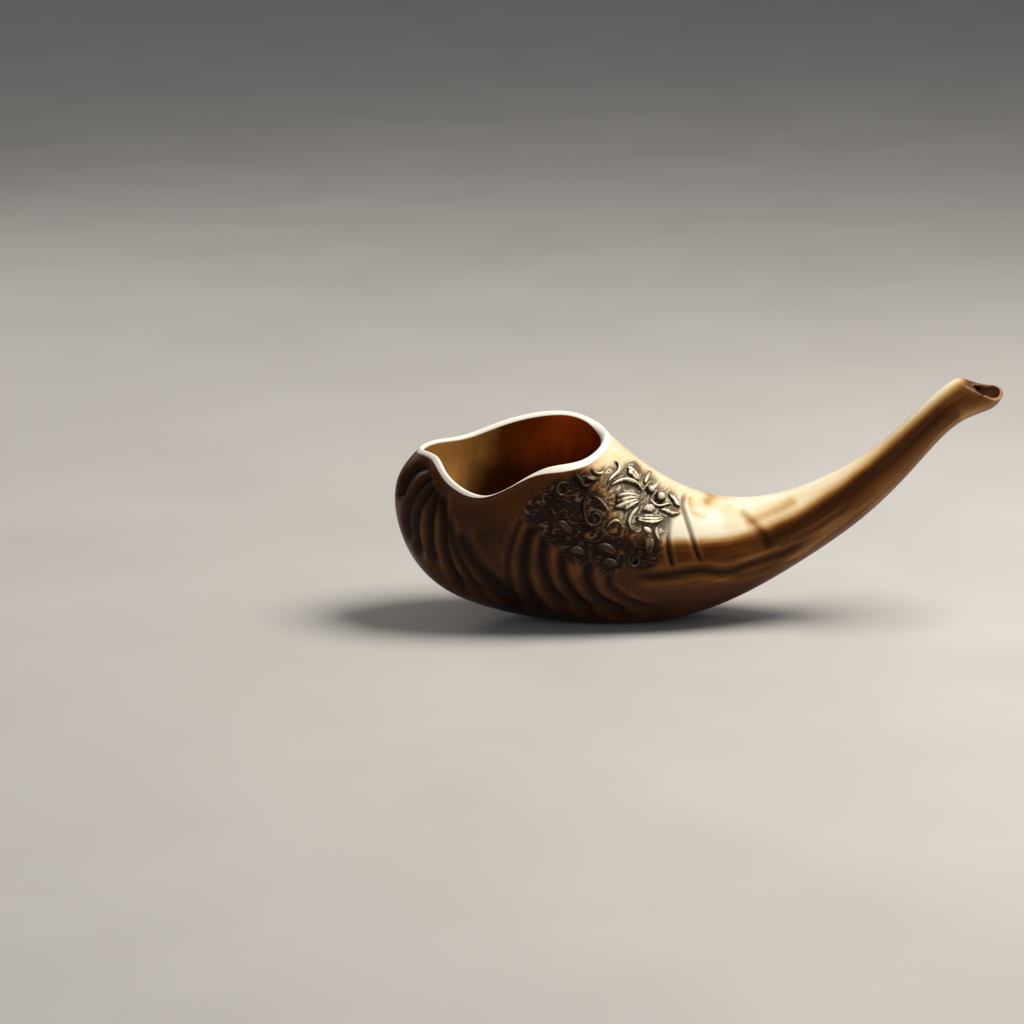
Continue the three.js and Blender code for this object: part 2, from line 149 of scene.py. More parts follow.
# name: (path, half width, depth)
GROOVES = {
    "bulge_1": ([(-83, 70.6), (-88, 69.6), (-92.4, 66), (-95.4, 60.5), (-96.6, 55)], 1.7, 2.2),
    "bulge_2": ([(-81.4, 67.4), (-86, 63), (-90.4, 58), (-93.2, 51), (-93.6, 43), (-91, 34)], 1.6, 2.2),
    "bulge_3": ([(-80.2, 63.6), (-84.5, 57.5), (-88.2, 51.5), (-89.6, 44), (-89, 36), (-86, 28)], 1.6, 2.2),
    "bulge_4": ([(-79.4, 61.5), (-81.2, 54), (-82.8, 47), (-83.2, 40), (-82.4, 32), (-79.4, 24)], 1.6, 2.2),
    "bulge_5": ([(-78, 60), (-77.2, 52), (-76.6, 44), (-76.4, 36), (-74.8, 28), (-71, 20), (-65, 13)],
                1.5, 2.0),
    "bulge_6": ([(-75.6, 50), (-73.4, 41), (-71.4, 33), (-68.4, 26), (-64.4, 19), (-57, 12)], 1.4, 1.3),
    "bulge_7": ([(-70, 42), (-67, 34), (-63.4, 27.4), (-58.8, 21.6), (-52, 16), (-44, 11)], 2.2, 1.3),
    "body_1": ([(-40.6, 48), (-44, 42), (-46.6, 35), (-48, 28), (-47.6, 20), (-45, 12), (-40, 6)], 1.1, 1.0),
    "body_2": ([(-33, 46), (-36.6, 42.6), (-39, 38), (-40.4, 32), (-40.8, 25), (-40, 18), (-37, 11),
                (-31, 5)], 1.9, 2.1),
    "body_3": ([(-31, 42), (-32.2, 35), (-32.5, 28), (-31.4, 22), (-29.4, 16.4), (-25.6, 11.2), (-19, 6)],
               1.9, 2.1),
    "body_4": ([(-21, 37), (-23.4, 30), (-23.5, 24), (-22, 18.4), (-19, 13), (-14, 8), (-7, 4)], 1.8, 2.1),
    "body_5": ([(-10.4, 29), (-12.2, 23.4), (-11.8, 18.4), (-9.6, 13.6), (-5.6, 9.6), (1, 6), (9, 3.4)],
               1.8, 2.0),
    "body_6": ([(-2, 23), (-2.6, 18.4), (0, 14.4), (4.6, 11), (11, 8), (19, 6)], 1.3, 1.1),
    "ring_1": ([(24.6, 47), (23.8, 40), (24.4, 32), (26.4, 24)], 0.85, 1.3),
    "ring_2": ([(32.4, 59), (30.8, 53.4), (32, 48), (34.2, 40.4), (36.8, 32), (39.4, 26)], 0.8, 1.2),
    "wrinkle": ([(56.4, 51), (61, 46.6), (65.4, 42), (68.6, 38), (70, 34.4)], 1.6, 0.25),
    "long_crease": ([(6, 21.4), (16, 21), (27, 21.9), (38.6, 23.6), (50, 22.6), (59, 25), (67.4, 27.8),
                     (76.6, 30.8), (86, 35.4), (98, 44)], 1.5, 1.1),
    "under_crease": ([(48, 21), (58, 21.4), (68, 24), (80, 29.4)], 1.0, 0.6),
    "neck_crease": ([(73, 33.6), (85, 39), (96, 45), (108, 54)], 1.0, 0.5),
}

# The horn's pale part lies above this line on the plate, and its brown part below. The split is partly the
# horn's own colour and partly painted light: lighter on top, where the light falls, and browner below.
PALE_LINE = [
    (-100, 104), (-40, 100), (-14, 78), (-10.5, 69), (-5.5, 58.5), (-2.5, 48.5), (5.5, 41.5), (13.5, 38),
    (22, 37), (47, 37), (56, 39), (65, 41.8), (74, 45.3), (83, 49.4), (92, 55), (101, 61), (110, 68),
    (119, 75.2), (128, 83.5), (137, 91.8), (150, 103), (170, 119),
]
PALE_SOFTNESS = 3.6
PALE_SOFTNESS_CARVED = 4  # added to that on the carved side

# Soft streaks on the plate: (path, half width, change of tone). Most are the horn's grain. The dark band
# along the neck is painted shade, and the pale streaks on the neck's top and above the body are painted
# highlights.
STREAKS = {
    # Painted shade: the dark band along the middle of the neck.
    "neck_painted_shade": ([(58, 33), (68, 36.5), (76, 40.5), (83, 44), (92, 49), (101, 55), (110, 62), (119, 69),
                   (128, 77), (137, 85), (144, 91.5), (150, 96.8), (160, 104)], 3.0, -0.20),
    "neck_tan": ([(70, 24), (83, 32), (92, 37.5), (101, 43.5), (110, 50), (119, 56), (128, 65.5), (137, 74),
                  (145, 82), (152, 88), (165, 96), (182, 104)], 3.4, 0.16),
    # Painted highlight along the neck's top.
    "neck_top_highlight": ([(84, 60), (96, 67.5), (108, 76), (119, 84), (130, 93), (141, 102), (151, 110), (160, 115),
                  (172, 118)], 3.6, 0.22),
    "between_ribs": ([(-60, 44), (-60, 34), (-56, 24), (-48, 13), (-38, 5)], 5, -0.14),
    "mouth_tan": ([(154, 93), (165, 97), (177, 102)], 3.4, 0.13),
    "low_tan": ([(16, 31), (30, 30.5), (44, 31), (60, 31)], 4.5, -0.05),
    "wrinkle": ([(56.4, 51), (61, 46.6), (65.4, 42), (68.6, 37), (70, 32)], 1.7, -0.15),
    # Painted highlights: the two pale patches above the body.
    "highlight_low": ([(20, 42), (30, 42.5), (40, 44), (50, 47)], 4.6, 0.16),
    "highlight_high": ([(52, 52), (66, 55), (80, 60.5), (94, 68)], 3.4, 0.14),
    "brown_swirl": ([(40, 53), (46, 56.5), (52, 57.5), (58, 56)], 2.2, -0.24),
    "brown_stripe": ([(27, 58), (27.6, 53), (29, 48)], 1.5, -0.16),
    "brown_edge": ([(33.5, 57.5), (34.4, 52.5), (37, 48.5), (43, 47)], 1.6, -0.2),
    "brown_sweep": ([(58, 44), (70, 49), (84, 55.5)], 2.6, -0.2),
    "belly_red": ([(-10, 8), (12, 13), (36, 17), (58, 22), (80, 33)], 4.5, 0.05),
}

# The carved ground under the relief, as overlapping rounds of [x, up, radius].
CARVED_ROUNDS = [
    (-33, 50, 8), (-24, 56, 9), (-24, 43, 9), (-14, 60, 8), (-12, 48, 13), (-16, 34, 8), (-2, 63, 8),
    (0, 52, 13), (-2, 36, 11), (-2, 28, 6), (8, 68, 5), (11, 58, 11), (13, 46, 12), (12, 32, 9), (22, 53, 8),
]

# The carved ground's curls, drawn from waves that are bent by longer waves.
CURL_LENGTH = 6.6
FINE_CURL_LENGTH = 4.6
CURL_BEND = 2.6
CURL_BEND_LENGTH = 8
CARVED_RISE = 0.75  # from the hollows to the ridges
CARVED_SINK = 0.45  # of the hollows below the plain skin

# A groove is darkened with painted shade, a deeper one more, and a painted highlight runs beside it.
SHADE_FULL_DEPTH = 1.4  # a groove this deep is as dark as any
SHADE_SPREAD = 1.3  # how much wider a groove's dark line is than the groove
HIGHLIGHT_AWAY, HIGHLIGHT_WIDTH = 2.3, 0.8  # where the light line beside a groove runs, in its half widths
RIM_BAND = 1.9  # width of the pale band that the bell's cut edge shows on the outer skin
# Close around a relief piece the ground is darkened by patina and painted shade.
OUTLINE = (0.3, 1.5)  # the ground is dark this near a relief piece, and clear this far from it

RELIEF_SHARE = 0.45  # the part of a relief piece's height, from the horn up, that is pressed to the horn
RELIEF_SEAT = 1.2  # how far its lowest points are pressed in


def spline_weights(u):
    """Weights of the four control points around a place on a uniform cubic B-spline."""
    return [(1 - u) ** 3 / 6, (3 * u**3 - 6 * u**2 + 4) / 6, (-3 * u**3 + 3 * u**2 + 3 * u + 1) / 6, u**3 / 6]


def open_spline(values, at):
    """Points of an open spline through its two end values."""
    ends = [2 * values[0] - values[1], *values, 2 * values[-1] - values[-2]]
    padded = np.array(ends)
    start = np.minimum(np.floor(at).astype(int), len(values) - 2)
    weights = spline_weights(at - start)
    return sum(w[:, None] * padded[start + k] for k, w in enumerate(weights))


def closed_spline(values, at):
    start = np.floor(at).astype(int)
    weights = spline_weights(at - start)
    return sum(w[:, None] * values[(start + k - 1) % len(values)] for k, w in enumerate(weights))


def section(along, around):
    """Points of the plain elliptical sections.

    around is 0 at the throat, pi / 2 on the relief side and pi at the belly.
    """
    belly_x, belly_z, throat_x, throat_z, half_depth = open_spline(SECTIONS, along).T
    swell = BELL_SWELL * np.maximum(0, 1 - along / BELL_SWELL_FADE)
    depth = half_depth * (1 + swell * np.cos(around))
    mix = (1 + np.cos(around)) / 2
    x = belly_x + (throat_x - belly_x) * mix
    z = belly_z + (throat_z - belly_z) * mix
    return np.stack([x, -np.sin(around) * depth, z], 1)


def towards_edge(along, around, edge, end, reach):
    """How far the edge at one end of the horn draws the skin there, and less and less away from it."""
    fade = np.maximum(0, 1 - np.abs(along - end) / reach) ** 2
    turn = np.mod(around / (2 * math.pi), 1)
    shift = closed_spline(edge, turn * len(edge)) - section(np.full_like(along, end), around)
    return fade[:, None] * shift


def skin(along, around):
    """Points of the horn's outer skin."""
    at_bell = towards_edge(along, around, BELL_EDGE, 0, BELL_EDGE_FADE)
    at_mouthpiece = towards_edge(along, around, MOUTH_EDGE, LAST, MOUTH_EDGE_FADE)
    return section(along, around) + at_bell + at_mouthpiece


def unit(vectors):
    return vectors / np.maximum(np.linalg.norm(vectors, axis=1, keepdims=True), 1e-9)


def skin_directions(along, around):
    """Unit vectors out of the skin, and along it towards the mouthpiece."""
    step = 0.01
    before = np.maximum(0, along - step)
    after = np.minimum(LAST, along + step)
    lengthwise = skin(after, around) - skin(before, around)
    crosswise = skin(along, around + step) - skin(along, around - step)
    return unit(np.cross(crosswise, lengthwise)), unit(lengthwise)


def smooth(value, low, high):
    """0 below low, 1 above high, and a smooth step between."""
    t = np.clip((value - low) / (high - low), 0, 1)
    return t * t * (3 - 2 * t)


def wall(along, around):
    place = along / LAST
    thickness = WALL_BELL + (WALL_BODY - WALL_BELL) * smooth(place, 0, 0.2)
    thickness = thickness + (WALL_NECK - thickness) * smooth(place, 0.4, 0.65)
    thickness = thickness + (WALL_MOUTHPIECE - thickness) * smooth(place, 0.8, 1)
    return thickness + WALL_BELL_SPREAD * np.maximum(0, 1 - along) * np.cos(around)


# ---------------------------------------------------------------- ribs, creases and carving, as heights


def plate(points):
    """Plate coordinates [x, up] of points on either side of the horn."""
    side = np.sqrt(points[:, 1] ** 2 + BELLY_SOFTNESS**2) - BELLY_SOFTNESS
    up = points[:, 2] * math.cos(PLATE_TILT) - side * math.sin(PLATE_TILT)
    return np.stack([points[:, 0], up], 1)


def curve_points(path, per_span=6):
    """Points close together on a Catmull-Rom curve through a path."""
    knots = np.array([path[0], *path, path[-1]], float)
    made = []
    for k in range(len(path) - 1):
        a, b, c, d = knots[k : k + 4]
        for u in np.arange(per_span) / per_span:
            square = (2 * a - 5 * b + 4 * c - d) * u**2
            cube = (3 * b - a - 3 * c + d) * u**3
            made.append(0.5 * (2 * b + (c - a) * u + square + cube))
    return np.array([*made, knots[-1]])


def distance_to_path(places, path):
    """Distance of each place to a curve, and how far along the curve that is, from 0 to 1."""
    line = curve_points(path)
    best = np.full(len(places), 1e9)
    share = np.zeros(len(places))
    spans = len(line) - 1
    for k in range(spans):
        start, run = line[k], line[k + 1] - line[k]
        t = np.clip((places - start) @ run / max(run @ run, 1e-9), 0, 1)
        gap = np.linalg.norm(places - start - t[:, None] * run, axis=1)
        nearer = gap < best
        best = np.where(nearer, gap, best)
        share = np.where(nearer, (k + t) / spans, share)
    return best, share


def groove_depth(places):
    """Depth of the grooves at each place on the plate, the painted shade in them, and the painted highlight
    beside them.
    """
    depth = np.zeros(len(places))
    dark = np.zeros(len(places))
    light = np.zeros(len(places))
    for path, half_width, deepest in GROOVES.values():
        gap, share = distance_to_path(places, path)
        tapered = smooth(share, 0, 0.12) * smooth(1 - share, 0, 0.16)
        depth = np.maximum(depth, deepest * tapered * np.exp(-((gap / half_width) ** 2)))
        # Painted shade in the groove, darker the deeper it is.
        shadow = tapered * np.exp(-((gap / (half_width * SHADE_SPREAD)) ** 2))
        strength = min(1, deepest / SHADE_FULL_DEPTH)
        dark = np.maximum(dark, shadow * strength)
        # Painted highlight along each side of the groove.
        shoulder = np.exp(-(((gap - HIGHLIGHT_AWAY * half_width) / (HIGHLIGHT_WIDTH * half_width)) ** 2))
        light = np.maximum(light, tapered * shoulder * strength)
    return depth, dark, light * (1 - dark)


def ripple(places, wavelength, seed):
    """A smooth random field from about -1 to 1, with humps about a wavelength apart."""
    random = np.random.default_rng(seed)
    total = np.zeros(len(places))
    waves = 9
    for _ in range(waves):
        turn = random.uniform(0, 2 * math.pi)
        direction = np.array([math.cos(turn), math.sin(turn)])
        number = 2 * math.pi / (wavelength * random.uniform(0.75, 1.35))
        total += np.sin(places @ direction * number + random.uniform(0, 2 * math.pi))
    return total * math.sqrt(2 / waves) / 1.4


def carved_mask(places, near):
    """1 on the carved ground and 0 off it."""
    clear = np.ones(len(places))
    for x, up, radius in CARVED_ROUNDS:
        gap = np.hypot(places[:, 0] - x, places[:, 1] - up)
        clear *= smooth(gap, radius * 0.8, radius * 1.15)
    return (1 - clear) * near


def carved_height(places):
    """Fine curling ridges, a few millimetres apart, from 0 in the hollows to 1 on the ridges."""
    bend = np.stack([ripple(places, CURL_BEND_LENGTH, 1), ripple(places, CURL_BEND_LENGTH, 2)], 1)
    bent = places + CURL_BEND * bend
    curls = 1 - np.abs(ripple(bent, CURL_LENGTH, 3))
    fine = 1 - np.abs(ripple(bent, FINE_CURL_LENGTH, 4))
    return np.clip(0.65 * curls**3 + 0.35 * fine**3, 0, 1)


# ---------------------------------------------------------------- horn


def stepped(spans, closed=False):
    """Values at even steps over several spans."""
    parts = [np.linspace(low, high, steps, endpoint=False) for low, high, steps in spans]
    values = np.concatenate(parts)
    return values if closed else np.append(values, spans[-1][1])


def ring_grid(rows, columns):
    """along and around of every vertex of a grid, row by row."""
    along = np.repeat(rows, len(columns))
    around = np.tile(columns, len(rows))
    return along, around


def lip(end, columns, rounding, outwards):
    """Rings that round off the horn's end, from its outer skin to its inner one."""
    along, around = ring_grid(np.array([float(end)]), columns)
    outward, lengthwise = skin_directions(along, around)
    outer = skin(along, around)
    thickness = wall(along, around)[:, None]
    rings = []
    for k in range(1, LIP_STEPS):
        turn = math.pi * k / LIP_STEPS
        inset = (1 - math.cos(turn)) / 2
        rings.append(outer - outward * thickness * inset + lengthwise * outwards * rounding * math.sin(turn))
    return rings


def to_frame(points):
    """Drawing millimetres to the frame's metres."""
    return points * MILLIMETRE + REST


def add_attribute(mesh, name, values):
    made = mesh.attributes.new(name, "FLOAT", "POINT")
    made.data.foreach_set("value", np.asarray(values, np.float32))


def mesh_object(name, points, faces, material):
    mesh = bpy.data.meshes.new(name)
    mesh.from_pydata(points.tolist(), [], faces)
    mesh.update()
    mesh.shade_smooth()
    made = bpy.data.objects.new(name, mesh)
    bpy.context.scene.collection.objects.link(made)
    mesh.materials.append(material)
    return made


def grid_faces(rows, columns):
    """Quads of rings joined one to the next and the last to the first."""
    faces = []
    for row in range(rows):
        for column in range(columns):
            after = (column + 1) % columns
            here, there = row * columns, (row + 1) % rows * columns
            faces.append((here + column, there + column, there + after, here + after))
    return faces


def rim_band(around):
    """Width of the rim's pale band on the outer skin: widest towards the throat, on the relief side."""
    return RIM_BAND * (1 + 0.8 * np.maximum(0, np.cos(around - math.radians(35))))


def outer_skin(along, around):
    """The outer skin with its ribs, creases and carving: points, and the looks' fields."""
    points = skin(along, around)
    outward, _ = skin_directions(along, around)
    places = plate(points)
    near = smooth(-points[:, 1], 0, 4)
    groove, dark, light = groove_depth(places)
    carved = carved_mask(places, near)
    bell_fade = smooth(along, 0.06, 0.35)
    mouth_fade = smooth(LAST - along, 0.3, 1.2)
    carving = carved_height(places)
    height = -groove * (1 - 0.75 * carved) + carved * (CARVED_RISE * carving - CARVED_SINK)
    points = points + outward * (height * bell_fade * mouth_fade)[:, None]
    points[:, 2] = np.maximum(points[:, 2], 0)
    edge = skin(np.zeros_like(along), around)
    from_edge = np.where(along < 1, np.linalg.norm(points - edge, axis=1), np.inf)
    fields = {
        # groove is the painted shade in the grooves, and light is the painted highlight beside them.
        "groove": dark * bell_fade * (1 - carved),
        "light": light * bell_fade * (1 - carved),
        "carved": carved * bell_fade,
        "carving": carving,
        "outline": outline_patina_and_shade(points),
        "lip": 1 - smooth(from_edge / rim_band(around), 0.75, 1),
    }
    return points, fields


def pale_share(points):
    """How pale the horn is: 1 on its throat side from the relief on, 0 on its belly. This is partly its own
    colour and partly painted light and shade.
    """
    places = plate(points)
    line_x, line_up = np.array(PALE_LINE).T
    above = places[:, 1] > np.interp(places[:, 0], line_x, line_up)
    gap, _ = distance_to_path(places, PALE_LINE)
    softness = PALE_SOFTNESS + PALE_SOFTNESS_CARVED * (1 - smooth(places[:, 0], -5, 20))
    return smooth(np.where(above, gap, -gap) / softness, -1, 1)


BROWN_TONE = 0.19
BROWN_TONE_NECK = 0.14  # added towards the neck
# Painted shade: tone taken off under the belly, so it is darker towards the bottom.
BELLY_PAINTED_SHADE = 0.19  # taken off under the belly
PALE_TONE = 0.90


def tone_of(points):
    """The horn's tone before its grain: from near black at 0 through brown at 0.4 to cream at 1."""
    places = plate(points)
    brown = BROWN_TONE + BROWN_TONE_NECK * smooth(places[:, 0], -45, 50)
    # Painted shade under the belly.
    brown = brown - BELLY_PAINTED_SHADE * (1 - smooth(places[:, 1], 3, 28))
    # The pale and brown split is partly the horn's colour and partly painted light from above.
    tone = brown + (PALE_TONE - brown) * pale_share(points)
    for path, half_width, change in STREAKS.values():
        gap, share = distance_to_path(places, path)
        ends = smooth(share, 0, 0.15) * smooth(1 - share, 0, 0.15)
        tone = tone + change * ends * np.exp(-((gap / half_width) ** 2))
    return tone


def outline_patina_and_shade(points):
    """1 on the skin close around the relief pieces, which is darkened there by patina and painted shade, and
    0 away from them.
    """
    corners, faces = [], []
    for subpart in frame["record"]["subparts"]:
        if subpart["node"] == "horn":
            continue
        mesh = frame["nodes"][subpart["node"]].data
        first = len(corners)
        corners.extend(vertex.co for vertex in mesh.vertices)
        faces.extend([first + index for index in face.vertices] for face in mesh.polygons)
    relief_tree = BVHTree.FromPolygons(corners, faces)
    reach = OUTLINE[1] * MILLIMETRE
    dark = np.zeros(len(points))
    for k, place in enumerate(to_frame(points)):
        distance = relief_tree.find_nearest(Vector(place), reach)[3]
        if distance is not None:
            dark[k] = 1 - smooth(distance / MILLIMETRE, *OUTLINE)
    return dark


def arc_length(rows):
    """Millimetres along the middle of the horn from the bell, for each row."""
    middle = open_spline(SECTIONS, rows)
    line = np.stack([middle[:, 0] + middle[:, 2], middle[:, 1] + middle[:, 3]], 1) / 2
    steps = np.linalg.norm(np.diff(line, axis=0), axis=1)
    return np.concatenate([[0], np.cumsum(steps)])


def make_horn(material):
    columns = stepped(COLUMNS, closed=True)
    rows_out = stepped(ROWS_OUTSIDE)[::-1]  # from the mouthpiece to the bell
    rows_in = stepped(ROWS_INSIDE)
    along_out, around_out = ring_grid(rows_out, columns)
    along_in, around_in = ring_grid(rows_in, columns)
    outer, fields = outer_skin(along_out, around_out)
    outward, _ = skin_directions(along_in, around_in)
    inner = skin(along_in, around_in) - outward * wall(along_in, around_in)[:, None]
    bell_lip = lip(0, columns, BELL_LIP_ROUNDING, -1)
    mouth_lip = lip(LAST, columns, MOUTH_LIP_ROUNDING, 1)[::-1]
    points = np.concatenate([outer, *bell_lip, inner, *mouth_lip])
    count = len(columns)
    faces = grid_faces(len(points) // count, count)
    horn = mesh_object("horn_skin", to_frame(points), faces, material)

    lip_rings = LIP_STEPS - 1
    at_mouthpiece = np.full(lip_rings * count, LAST)
    along = np.concatenate([along_out, np.zeros(lip_rings * count), along_in, at_mouthpiece])
    around = np.tile(columns, len(points) // count)
    fade_in = np.concatenate([
        np.zeros(len(outer)), np.repeat(np.arange(1, LIP_STEPS) / LIP_STEPS, count), np.ones(len(inner)),
        np.repeat(1 - np.arange(1, LIP_STEPS) / LIP_STEPS, count),
    ])
    # The bell's cut edge is pale all across, and the mouthpiece's mostly along its two corners.
    across = np.repeat(np.arange(1, LIP_STEPS) / LIP_STEPS, count)
    corners = 0.15 + 0.65 * np.abs(2 * across - 1) ** 3
    beyond = {"lip": np.concatenate([np.ones(lip_rings * count), np.zeros(len(inner)), corners])}
    for name, values in fields.items():
        others = beyond.get(name, np.zeros(len(points) - len(outer)))
        add_attribute(horn.data, name, np.concatenate([values, others]))
    length = np.interp(along, stepped(ROWS_OUTSIDE), arc_length(stepped(ROWS_OUTSIDE)))
    add_attribute(horn.data, "length", length)
    add_attribute(horn.data, "turn_x", np.cos(around))
    add_attribute(horn.data, "turn_y", np.sin(around))
    add_attribute(horn.data, "inside", smooth(fade_in, 0.9, 1))
    add_attribute(horn.data, "pale", pale_share(points))
    add_attribute(horn.data, "tone", tone_of(points))
    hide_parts("horn")
    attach(horn, "root")
    return horn


# ---------------------------------------------------------------- relief


def relief_height(points, horn_tree):
    """Distance of each point from the horn's skin, in millimetres of the drawing."""
    return np.array([horn_tree.find_nearest(Vector(p))[3] for p in points]) / MILLIMETRE


def rounded_copy(node, name):
    """A copy of a relief node's mesh, welded, turned to quads and rounded by subdivision."""
    mesh = bpy.data.meshes.new(name)
    shape = bmesh.new()
    shape.from_mesh(node.data)
    bmesh.ops.remove_doubles(shape, verts=shape.verts, dist=1e-6)
    bmesh.ops.join_triangles(
        shape,
        faces=shape.faces,
        angle_face_threshold=math.radians(50),
        angle_shape_threshold=math.radians(60),
    )
    shape.to_mesh(mesh)
    shape.free()
    piece = bpy.data.objects.new(name, mesh)
    bpy.context.scene.collection.objects.link(piece)
    rounding = piece.modifiers.new("rounding", "SUBSURF")
    rounding.levels = 2
    rounding.render_levels = 2
    rounded = piece.evaluated_get(bpy.context.evaluated_depsgraph_get())
    piece.data = bpy.data.meshes.new_from_object(rounded)
    piece.modifiers.clear()
    piece.data.shade_smooth()
    return piece


def make_relief(node, material, horn_tree):
    name = node.name + "_cast"
    piece = rounded_copy(node, name)
    count = len(piece.data.vertices)
    points = np.zeros(count * 3)
    piece.data.vertices.foreach_get("co", points)
    points = points.reshape(-1, 3)
    height = relief_height(points, horn_tree)
    outward = np.array([horn_tree.find_nearest(Vector(p))[1] for p in points])
    top = max(height.max(), 1e-6)
    low = RELIEF_SHARE * top
    seat = smooth(low - height, 0, low)
    points = points - outward * (seat * RELIEF_SEAT * MILLIMETRE)[:, None]
    piece.data.vertices.foreach_set("co", points.ravel())
    add_attribute(piece.data, "crest", smooth(height / top, 0.35, 0.95))
    # The horn's pale share here darkens the piece in the brown part: partly patina, partly painted shade.
    add_attribute(piece.data, "pale", pale_share((points - REST) / MILLIMETRE))
    piece.data.materials.clear()
    piece.data.materials.append(material)
    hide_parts(node.name)
    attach(piece, "root")
    return piece


# ---------------------------------------------------------------- materials


def add(tree, kind, inputs=(), output=0, **settings):
    """Adds a shader node. inputs are (name or number, value or socket) pairs. Gives one of its outputs."""
    made = tree.nodes.new("ShaderNode" + kind)
    for key, value in settings.items():
        setattr(made, key, value)
    for key, value in inputs:
        if isinstance(value, bpy.types.NodeSocket):
            tree.links.new(value, made.inputs[key])
        else:
            made.inputs[key].default_value = value
    return made.outputs[output]


def attribute(tree, name):
    return add(tree, "Attribute", output="Fac", attribute_name=name)


def math_node(tree, operation, *values):
    return add(tree, "Math", list(enumerate(values)), operation=operation)


def mix_colour(tree, share, first, second):
    inputs = [(0, share), (6, first), (7, second)]
    return add(tree, "Mix", inputs, output=2, data_type="RGBA")


def ramp(tree, value, stops):
    """A colour ramp of (place, linear colour) stops."""
    made = tree.nodes.new("ShaderNodeValToRGB")
    tree.links.new(value, made.inputs[0])
    elements = made.color_ramp.elements
    while len(elements) < len(stops):
        elements.new(0.5)
    for element, (place, colour) in zip(elements, stops):
        element.position = place
        element.color = (*colour, 1)
    return made.outputs[0]


def between(tree, value, low, high):
    """smooth() as a shader node."""
    inputs = [(0, value), (1, low), (2, high)]
    return add(tree, "MapRange", inputs, interpolation_type="SMOOTHSTEP")


def noise(tree, place, scale, detail=4.0, roughness=0.55):
    inputs = [("Vector", place), ("Scale", scale), ("Detail", detail), ("Roughness", roughness)]
    return add(tree, "TexNoise", inputs)


def new_material(name):
    """A material with an empty Principled shader: gives the material, its tree and the shader."""
    made = bpy.data.materials.new(name)
    made.use_nodes = True
    tree = made.node_tree
    return made, tree, tree.nodes["Principled BSDF"]


def grain_place(tree, stretch):
    """A vector that runs round the horn and, stretch times slower, along it."""
    length = math_node(tree, "DIVIDE", attribute(tree, "length"), stretch)
    inputs = [(0, attribute(tree, "turn_x")), (1, attribute(tree, "turn_y")), (2, length)]
    return add(tree, "CombineXYZ", inputs)


HORN_COLOURS = [
    (0.0, (0.008, 0.002, 0.0003)),
    (0.25, (0.062, 0.018, 0.0025)),
    (0.42, (0.160, 0.056, 0.009)),
    (0.60, (0.420, 0.210, 0.064)),
    (0.80, (0.740, 0.550, 0.290)),
    (1.0, (0.900, 0.820, 0.620)),
]
# Inside colours: partly the horn's own colour and partly a painted glow of light on the lit inner wall.
INSIDE_COLOURS = [
    (0.0, (0.95, 0.64, 0.24)),
    (0.18, (0.86, 0.48, 0.14)),
    (0.42, (0.20, 0.065, 0.008)),
    (0.62, (0.27, 0.052, 0.004)),
    (0.84, (0.50, 0.080, 0.004)),
    (1.0, (0.26, 0.022, 0.002)),
]
LIP_COLOURS = [(0.3, (0.66, 0.39, 0.25)), (0.9, (0.93, 0.88, 0.76))]
INSIDE_LEAN = 0.3  # how far the border between amber and red leans to one side on its way up
INSIDE_FROM, INSIDE_TO = -0.115, -0.026  # where the bell's inside goes from amber to red, in metres
# Painted shade darkens the inside downwards over this z.
SHADE_TO, SHADE_FROM = 0.082, 0.060  # z over which it darkens downwards, in metres
CUP_FROM, CUP_TO = 0.10, 0.16  # x over which the bore turns into the cup's brown, in metres
BLOTCH_STRETCH = 0.25  # the inside's blotches are longer in z by one over this
# Colour of the painted shade low inside the bell.
INSIDE_SHADE = (0.012, 0.004, 0.001, 1)
CUP_COLOUR = (0.05, 0.014, 0.004, 1)
# Colours of the painted shade in the grooves.
GROOVE_SHADE_BROWN = (0.005, 0.0015, 0.0003, 1)  # a groove's colour in the brown part
GROOVE_SHADE_PALE = (0.080, 0.026, 0.005, 1)  # and in the pale part
HOLLOW_BROWN = (0.008, 0.004, 0.002, 1)
HOLLOW_PALE = (0.046, 0.022, 0.010, 1)
# Colour of the painted sheen on the carved ground's ridges in the brown part.
RIDGE_SHEEN = (0.26, 0.17, 0.10, 1)
HORN_GLOSS = 0.12
SILVER_GLOSS = 0.25


def inside_colours(tree):
    """Unpolished horn inside the bell: amber at its narrow end and red towards the bore, partly its own
    colour and partly a painted glow of light, and darker further down in painted shade.

    The mouthpiece's cup is brown.
    """
    position = add(tree, "NewGeometry", output="Position")
    x, y, z = (add(tree, "SeparateXYZ", [(0, position)], output=axis) for axis in range(3))
    stretched = add(tree, "CombineXYZ", [(0, x), (1, y), (2, math_node(tree, "MULTIPLY", z, BLOTCH_STRETCH))])
    blotches = noise(tree, stretched, 70, 5, 0.6)
    swing = math_node(tree, "SUBTRACT", blotches, 0.5)

    leaning = math_node(tree, "MULTIPLY_ADD", z, -INSIDE_LEAN, x)
    place = between(tree, leaning, INSIDE_FROM, INSIDE_TO)
    place = math_node(tree, "MULTIPLY_ADD", swing, 0.25, place)
    colour = ramp(tree, place, INSIDE_COLOURS)

    # Painted shade, darker further down inside the bell.
    height = math_node(tree, "MULTIPLY_ADD", swing, -0.03, z)
    down = math_node(tree, "SUBTRACT", 1.0, between(tree, height, SHADE_FROM, SHADE_TO))
    down = math_node(tree, "MULTIPLY", down, between(tree, place, 0.16, 0.50))
    down = math_node(tree, "MULTIPLY", down, 0.88)
    colour = mix_colour(tree, down, colour, INSIDE_SHADE)
    cup = between(tree, x, CUP_FROM, CUP_TO)
    return mix_colour(tree, cup, colour, CUP_COLOUR)


